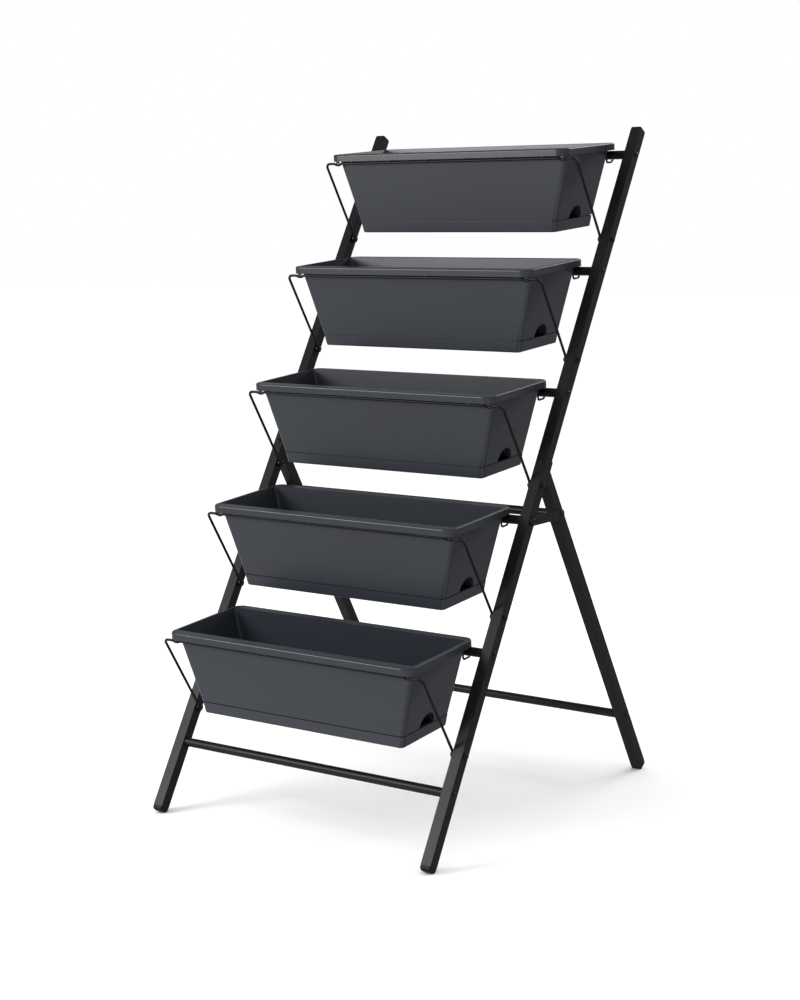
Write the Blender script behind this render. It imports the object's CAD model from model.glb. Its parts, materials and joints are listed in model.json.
# %% [markdown]
# # A ladder planter in five tiers
# The object is a leaning steel ladder with five grey plastic troughs. The solids of every tube,
# trough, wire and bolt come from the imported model, in metres, with the floor at z = 0 and the
# troughs facing -Y. This lesson gives those solids their finishes, adds the small traces that a
# workshop leaves on them, and sets up the light and the camera of a catalogue photograph.

import json
from math import cos, pi, radians, sin

import bmesh
import bpy
from mathutils import Matrix, Vector


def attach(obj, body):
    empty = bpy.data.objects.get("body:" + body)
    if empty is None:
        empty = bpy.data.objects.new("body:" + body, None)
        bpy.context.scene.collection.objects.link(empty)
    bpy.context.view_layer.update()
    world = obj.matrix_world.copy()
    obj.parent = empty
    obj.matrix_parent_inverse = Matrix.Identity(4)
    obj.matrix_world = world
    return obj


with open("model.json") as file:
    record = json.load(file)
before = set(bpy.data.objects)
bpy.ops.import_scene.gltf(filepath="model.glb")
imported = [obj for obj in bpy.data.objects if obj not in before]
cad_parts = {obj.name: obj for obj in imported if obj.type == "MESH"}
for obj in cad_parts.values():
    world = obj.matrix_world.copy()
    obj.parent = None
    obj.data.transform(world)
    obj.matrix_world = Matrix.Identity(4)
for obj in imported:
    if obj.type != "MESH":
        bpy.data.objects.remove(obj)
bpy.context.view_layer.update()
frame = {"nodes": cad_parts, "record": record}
nodes = frame["nodes"]
TIERS = range(1, 6)
SIDES = (-1, 1)

# %% [markdown]
# ## Shader sums as plain Python
# A finish is mostly arithmetic on noise. Wiring Math nodes by hand hides that arithmetic, so a
# socket is wrapped in a small class whose operators add the nodes. `1 - mask` and `a * b + c`
# then read as they would on paper. Every other kind of node comes from one method, `Graph.node`.


# %% Sums of sockets
class Value:
    """A socket with a number on it: it can be added, multiplied and taken from a number."""

    def __init__(self, graph, socket):
        self.graph = graph
        self.socket = socket

    def combine(self, operation, first, second):
        """Adds a Math node on two terms, each of them a wrapped socket or a plain number."""
        node = self.graph.tree.nodes.new("ShaderNodeMath")
        node.operation = operation
        self.graph.feed(node.inputs[0], first)
        self.graph.feed(node.inputs[1], second)
        return Value(self.graph, node.outputs[0])

    def __add__(self, other):
        return self.combine("ADD", self, other)

    def __radd__(self, other):
        return self.combine("ADD", other, self)

    def __rsub__(self, other):
        return self.combine("SUBTRACT", other, self)

    def __mul__(self, other):
        return self.combine("MULTIPLY", self, other)

    def __rmul__(self, other):
        return self.combine("MULTIPLY", other, self)


# %% One node tree
class Graph:
    """A node tree that takes nodes one call at a time."""

    def __init__(self, tree):
        self.tree = tree

    def node(self, kind, settings=None, output=0, **inputs):
        """Adds a node: its settings first, then its sockets by name with _ for a space."""
        made = self.tree.nodes.new(kind)
        for key, value in (settings or {}).items():
            setattr(made, key, value)
        for key, value in inputs.items():
            self.feed(made.inputs[key.replace("_", " ")], value)
        return Value(self, made.outputs[output])

    def feed(self, socket, value):
        """Links a wrapped socket, or sets a plain number or colour."""
        if isinstance(value, Value):
            self.tree.links.new(value.socket, socket)
        else:
            socket.default_value = value

    def mask(self, value, low, high):
        """0 below low, 1 above high, and smooth between."""
        return self.node(
            "ShaderNodeMapRange",
            {"interpolation_type": "SMOOTHSTEP"},
            Value=value,
            From_Min=low,
            From_Max=high,
        )


# %% [markdown]
# A Mix node has sockets of the same name for numbers, vectors and colours, so those for colours
# are known by their places in the list.

# %% One finish, one material
MIX_FACTOR = 0
MIX_FIRST = 6
MIX_SECOND = 7
MIX_RESULT = 2


class Finish(Graph):
    """A material with its Principled shader and the object's own coordinates."""

    def __init__(self, name):
        self.material = bpy.data.materials.new(name)
        self.material.use_nodes = True
        super().__init__(self.material.node_tree)
        self.shader = self.tree.nodes["Principled BSDF"]
        self.place = self.node("ShaderNodeTexCoord", output="Object")

    def set(self, **inputs):
        """Sets or links sockets of the shader."""
        for key, value in inputs.items():
            self.feed(self.shader.inputs[key.replace("_", " ")], value)

    def noise(self, scale, detail=2.0, roughness=0.5):
        return self.node(
            "ShaderNodeTexNoise",
            Vector=self.place,
            Scale=scale,
            Detail=detail,
            Roughness=roughness,
        )

    def tint(self, factor, first, second):
        """Colour between two colours."""
        mixed = self.node("ShaderNodeMix", {"data_type": "RGBA"}, output=MIX_RESULT)
        sockets = mixed.socket.node.inputs
        self.feed(sockets[MIX_FACTOR], factor)
        self.feed(sockets[MIX_FIRST], (*first, 1))
        self.feed(sockets[MIX_SECOND], (*second, 1))
        return mixed

    def bump(self, height, strength, distance):
        made = self.node("ShaderNodeBump", Height=height, Strength=strength, Distance=distance)
        self.set(Normal=made)


# %% [markdown]
# ## Powder coat
# Rails, legs, bars and braces are steel under a satin black powder coat. Powder melts into a skin
# with a very fine orange peel, two to three millimetres from hill to hill, and the coat is a
# little glossier where it flowed well. Fine noise gives the peel, and slow noise varies the gloss.


# %% Powder coat
def powder_coat():
    coat = Finish("satin_black_powder_coat")
    flow = coat.noise(scale=9.0)
    peel = coat.noise(scale=420.0, detail=1.0)
    dust = coat.mask(coat.noise(scale=60.0, detail=4.0), low=0.52, high=0.72)
    clean = (0.0048, 0.0049, 0.0052)
    dusty = (0.0070, 0.0071, 0.0075)
    coat.set(
        Base_Color=coat.tint(dust, clean, dusty),
        Roughness=0.38 + 0.10 * flow,
        Specular_IOR_Level=0.3,
    )
    coat.bump(peel, strength=0.12, distance=0.0004)
    return coat.material


# %% [markdown]
# ## Coated wire
# The bent front wires are thinner rod in the same black, dipped rather than sprayed, so the skin
# is smoother. It gets less peel and a slightly lower roughness than the tubes.


# %% Coated wire
def wire_coat():
    coat = Finish("black_dipped_wire")
    runs = coat.noise(scale=35.0, detail=3.0)
    thick = (0.0030, 0.0031, 0.0033)
    thin = (0.0045, 0.0046, 0.0048)
    coat.set(
        Base_Color=coat.tint(runs, thick, thin),
        Roughness=0.36 + 0.10 * runs,
        Specular_IOR_Level=0.3,
    )
    coat.bump(coat.noise(scale=260.0, detail=1.0), strength=0.08, distance=0.0003)
    return coat.material


# %% [markdown]
# ## Moulded plastic
# The troughs and trays are injection-moulded polypropylene in slate grey. The mould is finely
# eroded, which leaves a grain of about half a millimetre and an even, soft gloss. Colour drifts
# very slightly along the flow of the melt, so a slow, stretched noise shifts the tint.


# %% Moulded plastic
def moulded_grey(name, lighter):
    grey = Finish(name)
    stretched = grey.node("ShaderNodeMapping", Vector=grey.place, Scale=(1.2, 3.0, 3.0))
    flow = grey.node("ShaderNodeTexNoise", Vector=stretched, Scale=4.0, Detail=3.0)
    grain = grey.noise(scale=1400.0, detail=2.0)
    smears = grey.noise(scale=28.0, detail=5.0, roughness=0.6)
    handling = grey.mask(smears, low=0.55, high=0.80)
    deep = [channel * lighter for channel in (0.0195, 0.0228, 0.0302)]
    pale = [channel * lighter for channel in (0.0222, 0.0260, 0.0338)]
    grey.set(
        Base_Color=grey.tint(flow, deep, pale),
        Roughness=0.29 + 0.05 * grain + 0.04 * handling,
    )
    grey.bump(grain, strength=0.10, distance=0.0003)
    return grey.material


# %% [markdown]
# ## Caps, feet and fasteners
# The tube ends are plain black polyethylene, duller than the coat. The bolts and nuts are
# blackened steel: dark, half metallic, and rubbed brighter in patches.


# %% Small black parts
def plug_plastic():
    plug = Finish("dull_black_plug")
    scuffs = plug.mask(plug.noise(scale=140.0, detail=4.0), low=0.5, high=0.75)
    fresh = (0.0060, 0.0060, 0.0063)
    scuffed = (0.0110, 0.0110, 0.0113)
    plug.set(
        Base_Color=plug.tint(scuffs, fresh, scuffed),
        Roughness=0.52 + 0.15 * scuffs,
        Specular_IOR_Level=0.2,
    )
    plug.bump(plug.noise(scale=700.0), strength=0.15, distance=0.0003)
    return plug.material


def blackened_steel():
    steel = Finish("blackened_bolt_steel")
    rubbed = steel.mask(steel.noise(scale=300.0, detail=3.0), low=0.5, high=0.8)
    oxide = (0.012, 0.012, 0.013)
    bare = (0.045, 0.045, 0.047)
    steel.set(
        Base_Color=steel.tint(rubbed, oxide, bare),
        Metallic=0.4 + 0.4 * rubbed,
        Roughness=0.42 - 0.10 * rubbed,
    )
    return steel.material


# %% [markdown]
# ## Finishes on the solids
# The record already groups the nodes by material slot, so the slots decide which finish a node
# gets. The trays are moulded in the same grey, a trace lighter, as separate shots often are.

# %% Give every node its finish
finishes = {
    "frame": powder_coat(),
    "wire": wire_coat(),
    "fastener": blackened_steel(),
    "cap": plug_plastic(),
    "planter": moulded_grey("slate_trough_plastic", lighter=1.0),
    "tray": moulded_grey("slate_tray_plastic", lighter=1.06),
}
for part in frame["record"]["subparts"]:
    mesh = nodes[part["node"]].data
    mesh.materials.clear()
    mesh.materials.append(finishes[part["material_slot"]])
print("finishes on", len(nodes), "nodes")

# %% [markdown]
# ## Weld beads
# The solids meet in sharp seams, but on the real ladder the hooks and the legs are welded before
# the coat is sprayed, and the bead shows through it as a row of soft ripples. A ring pushed along
# the seam, a little wider at every ripple, makes one bead; all beads are one mesh that rides on
# the stand. Pitch, dip and end are given as shares of the bead's radius.

# %% A rippled bead along a straight seam
BEAD_SEGMENTS = 10
BEAD_LEAST_STEPS = 6
BEAD_END = 0.5
RIPPLE_PITCH = 0.7
RIPPLE_DIP = 0.84


def ring_edges(ring):
    """Edges that join two vertices of a ring."""
    near = {edge for vert in ring for edge in vert.link_edges}
    return [edge for edge in near if set(edge.verts) <= set(ring)]


def bead_width(step, steps):
    """Share of the radius that a bead has after a step."""
    if step == steps:
        return BEAD_END
    return 1.0 if step % 2 else RIPPLE_DIP


def weld_run(shape, start, end, radius):
    along = end - start
    steps = max(BEAD_LEAST_STEPS, round(along.length / (RIPPLE_PITCH * radius)))
    turn = along.to_track_quat("Z", "Y").to_matrix().to_4x4()
    ring = bmesh.ops.create_circle(
        shape,
        cap_ends=True,
        segments=BEAD_SEGMENTS,
        radius=BEAD_END * radius,
        matrix=Matrix.Translation(start) @ turn,
    )["verts"]
    width = BEAD_END
    for step in range(1, steps + 1):
        grown = bmesh.ops.extrude_edge_only(shape, edges=ring_edges(ring))["geom"]
        ring = [item for item in grown if isinstance(item, bmesh.types.BMVert)]
        bmesh.ops.translate(shape, verts=ring, vec=along / steps)
        to_middle = Matrix.Translation(-(start + along * (step / steps)))
        wanted = bead_width(step, steps)
        swell = wanted / width
        bmesh.ops.scale(shape, verts=ring, vec=(swell, swell, swell), space=to_middle)
        width = wanted
    bmesh.ops.edgeloop_fill(shape, edges=ring_edges(ring))


def add_piece(shape, name, body, slot):
    """Turns a finished bmesh into a smooth piece that rides on a body."""
    bmesh.ops.recalc_face_normals(shape, faces=shape.faces)
    mesh = bpy.data.meshes.new(name)
    shape.to_mesh(mesh)
    shape.free()
    mesh.shade_smooth()
    mesh.materials.append(finishes[slot])
    piece = bpy.data.objects.new(name, mesh)
    bpy.context.scene.collection.objects.link(piece)
    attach(piece, body)
    print(name, len(mesh.polygons), "faces on", body)


# %% [markdown]
# The seams follow from the frame's own sizes: the rails lean 30 degrees, and a leg ends on the
# back of its plate, 29.4 mm behind the rail's front face. A bar's hook starts on the upper back of
# the bar and is turned with the troughs, which tip 5 degrees. The welds of a hook run down both
# its sides, between two angles above the bar's back.

# %% Weld the legs and the hooks
LEAN = radians(30)
TILT = radians(5)
SHIFT_Y = -0.47754
RAIL_X = 0.3612
LEG_SEAMS = (0.8825, 0.9114)
PLATE_BACK = 0.0294
TUBE_HALF = 0.0127
LOWEST_TIER = 0.4815
TIER_PITCH = 0.305
WIRE_DROP = 0.222
HOOK_X = 0.3040
HOOK_SEAM = 0.00245
HOOK_WELD = (40, 8)
BAR_RADIUS = 0.0100
LEG_BEAD = 0.0024
HOOK_BEAD = 0.0014
BEAD_INSET = 0.002
BEAD_LIFT = 0.0004


def rail_place(x, back, along):
    """Point given by its distance behind the rail's front face and along the rail."""
    y = along * sin(LEAN) + back * cos(LEAN) + SHIFT_Y
    z = along * cos(LEAN) - back * sin(LEAN)
    return Vector((x, y, z))


def bar_centre(tier, drop=0.0):
    """Middle of a tier's bar, or a point below it along the rail."""
    return rail_place(0, TUBE_HALF, LOWEST_TIER + TIER_PITCH * (TIERS[-1] - tier) - drop)


def on_bar(tier, x, degrees):
    """Point just outside a bar, at an angle above its back."""
    angle = radians(degrees) + TILT
    reach = BAR_RADIUS + BEAD_LIFT
    return bar_centre(tier) + Vector((x, reach * cos(angle), reach * sin(angle)))


beads = bmesh.new()
for side in SIDES:
    half = TUBE_HALF - BEAD_INSET
    for seam in LEG_SEAMS:
        first = rail_place(side * RAIL_X - half, PLATE_BACK, seam)
        last = rail_place(side * RAIL_X + half, PLATE_BACK, seam)
        weld_run(beads, first, last, LEG_BEAD)
    for tier in TIERS:
        for flank in SIDES:
            beside = side * HOOK_X + flank * HOOK_SEAM
            first, last = (on_bar(tier, beside, degrees) for degrees in HOOK_WELD)
            weld_run(beads, first, last, HOOK_BEAD)
add_piece(beads, "weld_beads", "stand", "frame")

# %% [markdown]
# ## Washers
# Where a wire's bolt comes out of the rail, a flat washer lies under the nut. It is a small
# rectangle spun once round the bolt's line, with its outer rims rounded by a bevel.

# %% Washers under the nuts
WASHER_HOLE = 0.0031
WASHER_RADIUS = 0.0070
WASHER_THICK = 0.0010
WASHER_EDGE = 0.00025
WASHER_STEPS = 28


def on_rim(vert, centre):
    """True for a vertex on the outer edge of the washer with this centre."""
    away = vert.co - centre
    return abs(away.yz.length - WASHER_RADIUS) < WASHER_EDGE and abs(away.x) < WASHER_RADIUS


def washer(shape, centre, outward):
    profile = (
        (WASHER_HOLE, 0),
        (WASHER_RADIUS, 0),
        (WASHER_RADIUS, WASHER_THICK),
        (WASHER_HOLE, WASHER_THICK),
    )
    places = [centre + Vector((outward * level, 0, away)) for away, level in profile]
    corners = [shape.verts.new(place) for place in places]
    edges = [shape.edges.new((corners[n - 1], corners[n])) for n in range(len(corners))]
    bmesh.ops.spin(
        shape,
        geom=corners + edges,
        cent=centre,
        axis=(1, 0, 0),
        angle=2 * pi,
        steps=WASHER_STEPS,
        use_merge=True,
    )
    rims = []
    for edge in shape.edges:
        first, last = edge.verts
        across = abs(first.co.x - last.co.x) >= WASHER_EDGE
        if on_rim(first, centre) and on_rim(last, centre) and not across:
            rims.append(edge)
    bmesh.ops.bevel(
        shape,
        geom=rims,
        offset=WASHER_EDGE,
        segments=2,
        profile=0.5,
        affect="EDGES",
        material=-1,
    )


washers = bmesh.new()
for tier in TIERS:
    for side in SIDES:
        rail_face = Vector((side * (RAIL_X + TUBE_HALF), 0, 0))
        washer(washers, bar_centre(tier, WIRE_DROP) + rail_face, side)
add_piece(washers, "wire_washers", "stand", "fastener")

# %% [markdown]
# ## Floor and light
# A catalogue shot of a dark object stands on white paper that is lit until it is plain white, so
# that only the deepest shadow under the object still shows. A wide soft box in front and to the
# left lights the object and draws the bright lines along the rims, and a weaker one high behind it
# keeps the back from going black. The ceiling adds an even light from above that lights the paper.
# The rest of the room is dim, or the ends and the tubes would turn pale. Dark plastic mirrors a
# white floor far too well, so the paper is hidden from reflections, as a black cloth just outside
# the picture would do it.

# %% White paper floor
FLOOR_REACH = 30.0


def paper_floor():
    shape = bmesh.new()
    bmesh.ops.create_grid(shape, x_segments=1, y_segments=1, size=FLOOR_REACH)
    mesh = bpy.data.meshes.new("paper_floor")
    shape.to_mesh(mesh)
    shape.free()
    floor = bpy.data.objects.new("paper_floor", mesh)
    floor.visible_glossy = False
    bpy.context.scene.collection.objects.link(floor)
    paper = Finish("white_paper")
    fibre = paper.noise(scale=3.0)
    paper.set(
        Base_Color=paper.tint(fibre, (0.93, 0.93, 0.93), (0.95, 0.95, 0.95)),
        Roughness=0.9,
        Specular_IOR_Level=0.0,
    )
    mesh.materials.append(paper.material)


paper_floor()

# %% Lamps
OBJECT_MIDDLE = (0, 0, 0.95)


def add_lamp(name, kind, at, towards, energy):
    lamp = bpy.data.lights.new(name, kind)
    lamp.energy = energy
    holder = bpy.data.objects.new(name, lamp)
    holder.location = at
    holder.rotation_euler = (Vector(towards) - Vector(at)).to_track_quat("-Z", "Y").to_euler()
    bpy.context.scene.collection.objects.link(holder)
    return holder


def add_box(name, at, width, height, brightness):
    """Soft box aimed at the middle of the object; the brightness is that of its cloth."""
    energy = brightness * pi * width * height
    box = add_lamp(name, "AREA", at, OBJECT_MIDDLE, energy).data
    box.shape = "RECTANGLE"
    box.size = width
    box.size_y = height


add_box("soft_box", at=(-2.15, -3.15, 1.9), width=1.6, height=1.2, brightness=15.0)
add_box("back_box", at=(0.9, 3.4, 3.4), width=2.4, height=1.6, brightness=4.5)
ceiling = add_lamp("bright_ceiling", "SUN", at=(0, -1.2, 5), towards=(0, 0, 0), energy=2.7)
ceiling.data.angle = radians(120)
ceiling.visible_glossy = False

# %% [markdown]
# The room is white where the camera looks at it and dim where it lights the object. Below the
# horizon the plastic mirrors a ring of softened paper, which lifts the front walls and fades out
# where the next trough below stands in the way. A black flag at the back right keeps that glow
# off the end walls and the sides of the tubes, so that an edge shows between front and side.

# %% Room
ROOM_FILL = 0.26
PAPER_GLOW = 0.58
GLOW_BELOW = (0.10, 0.40)
GLOW_UNTIL = (0.60, 0.85)
FLAG_WAY = (0.47, 0.80, -0.36)
FLAG_EDGE = (0.55, 0.85)
WHITE = (1, 1, 1, 1)
world = bpy.data.worlds.new("white_room")
world.use_nodes = True
bpy.context.scene.world = world
room = Graph(world.node_tree)
way = room.node("ShaderNodeTexCoord", output="Generated")
x, y, z = (room.node("ShaderNodeSeparateXYZ", output=axis, Vector=way) for axis in "XYZ")
flagged = room.mask(x * FLAG_WAY[0] + y * FLAG_WAY[1] + z * FLAG_WAY[2], *FLAG_EDGE)
below = room.mask(0 - z, *GLOW_BELOW) * (1 - room.mask(0 - z, *GLOW_UNTIL))
dim = ROOM_FILL + PAPER_GLOW * below * (1 - flagged)
looked_at = room.node("ShaderNodeLightPath", output="Is Camera Ray")
backdrop = world.node_tree.nodes["Background"]
room.feed(backdrop.inputs["Color"], WHITE)
room.feed(backdrop.inputs["Strength"], dim + (1 - dim) * looked_at)
bpy.context.scene.view_settings.view_transform = "Standard"

# %% [markdown]
# ## Camera
# The camera was worked out from the straight edges of the rails: a little over four metres away,
# to the right of the middle, level with the underside of the top trough and tipped slightly down.
# Angles are in degrees, and the picture is measured in pixels.

# %% Camera at the photograph's angle
IMAGE_HEIGHT = 1000
FOCAL_PIXELS = 1895.8
AXIS_ROW = 454.75
CAMERA_PLACE = (2.4322, -3.5473, 1.3030)
CAMERA_DIP = 6.846
CAMERA_ROLL = 0.138
CAMERA_YAW = 34.657
camera = bpy.data.cameras.new("catalogue_camera")
camera.sensor_fit = "VERTICAL"
camera.sensor_height = 24.0
camera.lens = camera.sensor_height * FOCAL_PIXELS / IMAGE_HEIGHT
camera.shift_y = (AXIS_ROW - IMAGE_HEIGHT / 2) / IMAGE_HEIGHT
camera.clip_end = 100.0
viewer = bpy.data.objects.new("catalogue_camera", camera)
viewer.location = CAMERA_PLACE
viewer.rotation_euler = (radians(90 - CAMERA_DIP), radians(CAMERA_ROLL), radians(CAMERA_YAW))
bpy.context.scene.collection.objects.link(viewer)
bpy.context.scene.camera = viewer
print("camera", [round(v, 3) for v in viewer.location], "lens", round(camera.lens, 2), "mm")
